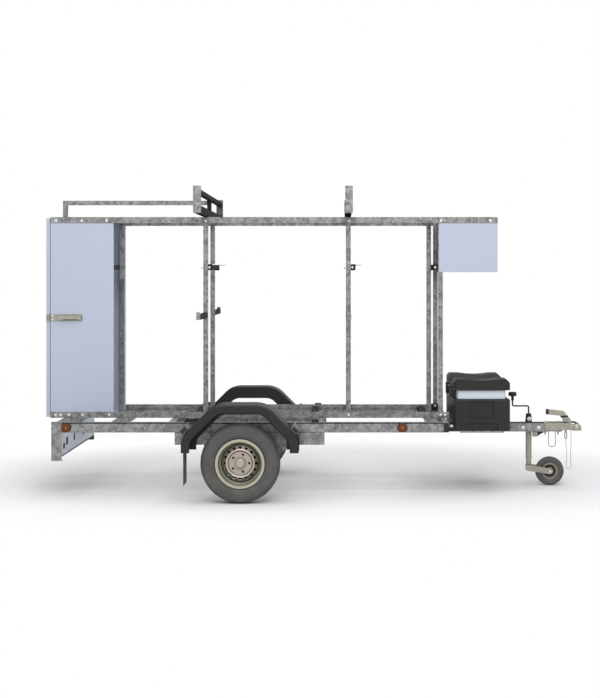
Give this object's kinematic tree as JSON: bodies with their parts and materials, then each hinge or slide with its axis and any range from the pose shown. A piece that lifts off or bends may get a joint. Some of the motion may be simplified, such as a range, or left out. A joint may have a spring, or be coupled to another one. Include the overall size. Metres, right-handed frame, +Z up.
{
  "type": "scaffolding trailer",
  "caption": "Single-axle galvanised trailer with a tall open frame, rear cabinet, front hood, drawbar toolbox and roof racks for carrying scaffold parts.",
  "frame": {"origin": "on the ground, midway between the rear door's face and the coupling's nose, on the centre plane", "axes": "+X forwards to the coupling, +Y to the left, +Z up"},
  "size_m": [4.134, 1.75, 2.296],
  "materials": {
    "galvanised": "hot-dip galvanised, mottled spangle",
    "panel_paint": "pale blue-grey satin coating",
    "black_plastic": "moulded, fine grain",
    "bar_rubber": "black rubber cover",
    "flap_rubber": "ribbed rubber sheet",
    "tyre": "black rubber, worn matt",
    "wheel_paint": "silver wheel paint",
    "zinc": "zinc plated, passivated",
    "grip_plastic": "zinc lever with a black grip",
    "collar_plastic": "pale blue-grey moulding",
    "lamp_red": "red lens",
    "lamp_amber": "amber reflector lens",
    "wire": "galvanised wire rope and spring steel"
  },
  "bodies": {
    "chassis": {"chassis_rails": "galvanised", "cross_members": "galvanised", "axle_beams": "galvanised", "axle": "galvanised", "drawbar": "galvanised", "fender_supports": "galvanised", "top_rails": "galvanised", "bottom_rails": "galvanised", "side_posts": "galvanised", "centre_posts": "galvanised", "top_members": "galvanised", "rack_ends": "galvanised", "roof_bar": "galvanised", "side_arm_plates": "galvanised", "load_bar_clips": "galvanised", "light_board_legs": "galvanised", "toolbox_bracket": "galvanised", "cabinet_hinges": "galvanised", "cabinet_sides": "panel_paint", "cabinet_plates": "panel_paint", "hood_sides": "panel_paint", "hood_shell": "panel_paint", "light_board": "panel_paint", "fenders": "black_plastic", "tube_caps": "black_plastic", "toolbox_body": "black_plastic", "load_bars": "bar_rubber", "side_arms": "bar_rubber", "rack_lower_bars": "bar_rubber", "rack_upper_bars": "bar_rubber", "mudflaps": "flap_rubber", "coupling_head": "zinc", "jockey_outer_tube": "zinc", "door_latch": "zinc", "coupling_handle": "zinc", "jockey_crank": "grip_plastic", "toolbox_collar": "collar_plastic", "tail_lamps": "lamp_red", "side_markers": "lamp_amber", "bail": "wire", "snap_hook": "wire", "safety_cable": "wire"},
    "wheel_left": {"tyre_left": "tyre", "rim_left": "wheel_paint"},
    "wheel_right": {"tyre_right": "tyre", "rim_right": "wheel_paint"},
    "rear_door": {"rear_door": "panel_paint", "door_fittings": "zinc"},
    "toolbox_lid": {"toolbox_lid": "black_plastic"},
    "jockey_leg": {"jockey_inner_tube": "zinc"},
    "jockey_caster": {"jockey_fork": "zinc"},
    "jockey_wheel": {"jockey_tyre": "tyre", "jockey_rim": "zinc"}
  },
  "joints": [
    {"name": "wheel_left_spin", "type": "hinge", "parent": "chassis", "child": "wheel_left", "pos_m": [-0.551, 0.7225, 0.29], "axis": [0, 1, 0], "continuous": true},
    {"name": "wheel_right_spin", "type": "hinge", "parent": "chassis", "child": "wheel_right", "pos_m": [-0.551, -0.7225, 0.29], "axis": [0, 1, 0], "continuous": true},
    {"name": "rear_door_hinge", "type": "hinge", "parent": "chassis", "child": "rear_door", "pos_m": [-2.058, 0.294, 1.332], "axis": [0, 0, -1], "range_deg": [0, 180]},
    {"name": "toolbox_lid_hinge", "type": "hinge", "parent": "chassis", "child": "toolbox_lid", "pos_m": [1.024, 0, 0.792], "axis": [0, -1, 0], "range_deg": [0, 70]},
    {"name": "jockey_slide", "type": "slide", "parent": "chassis", "child": "jockey_leg", "axis": [0, 0, 1], "range_m": [-0.18, 0.04]},
    {"name": "jockey_swivel", "type": "hinge", "parent": "jockey_leg", "child": "jockey_caster", "pos_m": [1.662, 0.063, 0.16], "axis": [0, 0, 1], "continuous": true},
    {"name": "jockey_wheel_spin", "type": "hinge", "parent": "jockey_caster", "child": "jockey_wheel", "pos_m": [1.826, 0.063, 0.112], "axis": [0, 1, 0], "continuous": true}
  ]
}
